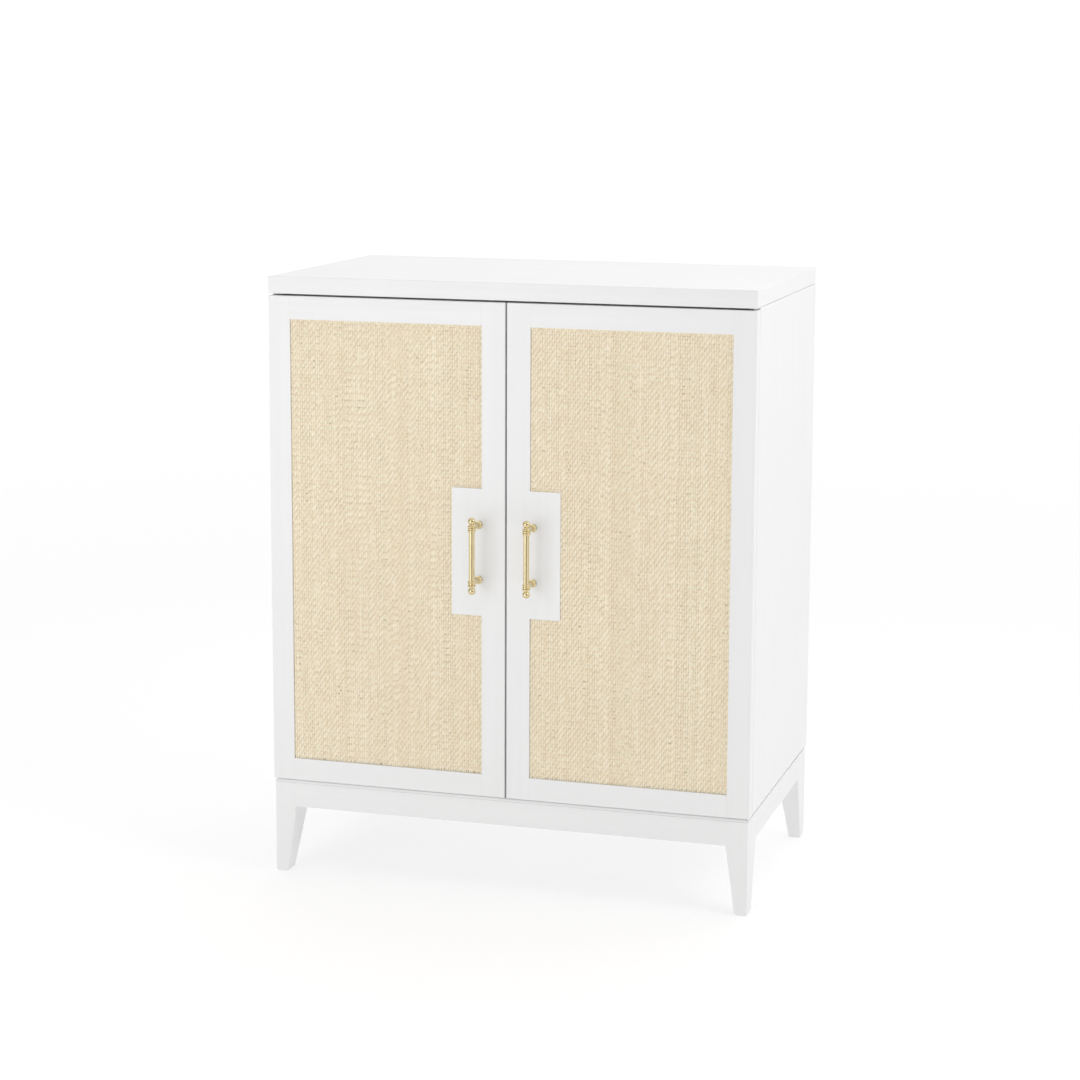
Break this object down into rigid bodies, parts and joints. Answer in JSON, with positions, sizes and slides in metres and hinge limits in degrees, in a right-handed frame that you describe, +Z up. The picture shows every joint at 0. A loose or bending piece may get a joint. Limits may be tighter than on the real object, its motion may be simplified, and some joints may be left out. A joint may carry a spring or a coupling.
{
  "type": "two-door apothecary cabinet",
  "caption": "Floor cabinet with two hinged doors with woven inset panels and turned bar pulls, loose shelves inside and a base of tapered legs.",
  "frame": {"origin": "centre of the whole cabinet's footprint box, pulls included, on the floor", "axes": "+Z up, -Y the front with the doors, +X to the right as seen from the front"},
  "size_m": [0.864, 0.5532, 1.067],
  "materials": {
    "white_lacquer": "satin white lacquer sprayed over fine-grained board",
    "woven_straw": "natural woven straw, pale cream to tan, matt",
    "brass": "polished pale brass",
    "steel": "zinc-plated steel, lightly brushed",
    "catch_plastic": "white moulded plastic"
  },
  "bodies": {
    "cabinet": {"back_apron": "white_lacquer", "back_left_leg": "white_lacquer", "back_panel": "white_lacquer", "back_right_leg": "white_lacquer", "base_board": "white_lacquer", "case_ceiling_panel": "white_lacquer", "case_floor_panel": "white_lacquer", "front_apron": "white_lacquer", "front_left_leg": "white_lacquer", "front_right_leg": "white_lacquer", "left_apron": "white_lacquer", "left_door_bottom_pivot_case_leaf": "steel", "left_door_top_pivot_case_leaf": "steel", "left_side_panel": "white_lacquer", "lower_shelf": "white_lacquer", "lower_shelf_pin_back_left": "brass", "lower_shelf_pin_back_right": "brass", "lower_shelf_pin_front_left": "brass", "lower_shelf_pin_front_right": "brass", "magnetic_catch": "catch_plastic", "right_apron": "white_lacquer", "right_door_bottom_pivot_case_leaf": "steel", "right_door_top_pivot_case_leaf": "steel", "right_side_panel": "white_lacquer", "top_slab": "white_lacquer", "upper_shelf": "white_lacquer", "upper_shelf_pin_back_left": "brass", "upper_shelf_pin_back_right": "brass", "upper_shelf_pin_front_left": "brass", "upper_shelf_pin_front_right": "brass"},
    "left_door": {"left_door_bottom_pivot_door_leaf": "steel", "left_door_bottom_rail": "white_lacquer", "left_door_core_board": "white_lacquer", "left_door_inner_stile": "white_lacquer", "left_door_outer_stile": "white_lacquer", "left_door_strike_plate": "steel", "left_door_top_pivot_door_leaf": "steel", "left_door_top_rail": "white_lacquer", "left_door_woven_panel": "woven_straw", "left_pull_bar": "brass", "left_pull_lower_post": "brass", "left_pull_lower_screw": "steel", "left_pull_upper_post": "brass", "left_pull_upper_screw": "steel"},
    "right_door": {"right_door_bottom_pivot_door_leaf": "steel", "right_door_bottom_rail": "white_lacquer", "right_door_core_board": "white_lacquer", "right_door_inner_stile": "white_lacquer", "right_door_outer_stile": "white_lacquer", "right_door_strike_plate": "steel", "right_door_top_pivot_door_leaf": "steel", "right_door_top_rail": "white_lacquer", "right_door_woven_panel": "woven_straw", "right_pull_bar": "brass", "right_pull_lower_post": "brass", "right_pull_lower_screw": "steel", "right_pull_upper_post": "brass", "right_pull_upper_screw": "steel"}
  },
  "joints": [
    {"name": "left_door_swing", "type": "hinge", "parent": "cabinet", "child": "left_door", "pos_m": [-0.425, -0.22237, 0.6], "axis": [0, 0, -1], "range_deg": [0, 110]},
    {"name": "right_door_swing", "type": "hinge", "parent": "cabinet", "child": "right_door", "pos_m": [0.425, -0.22237, 0.6], "axis": [0, 0, 1], "range_deg": [0, 110]}
  ]
}
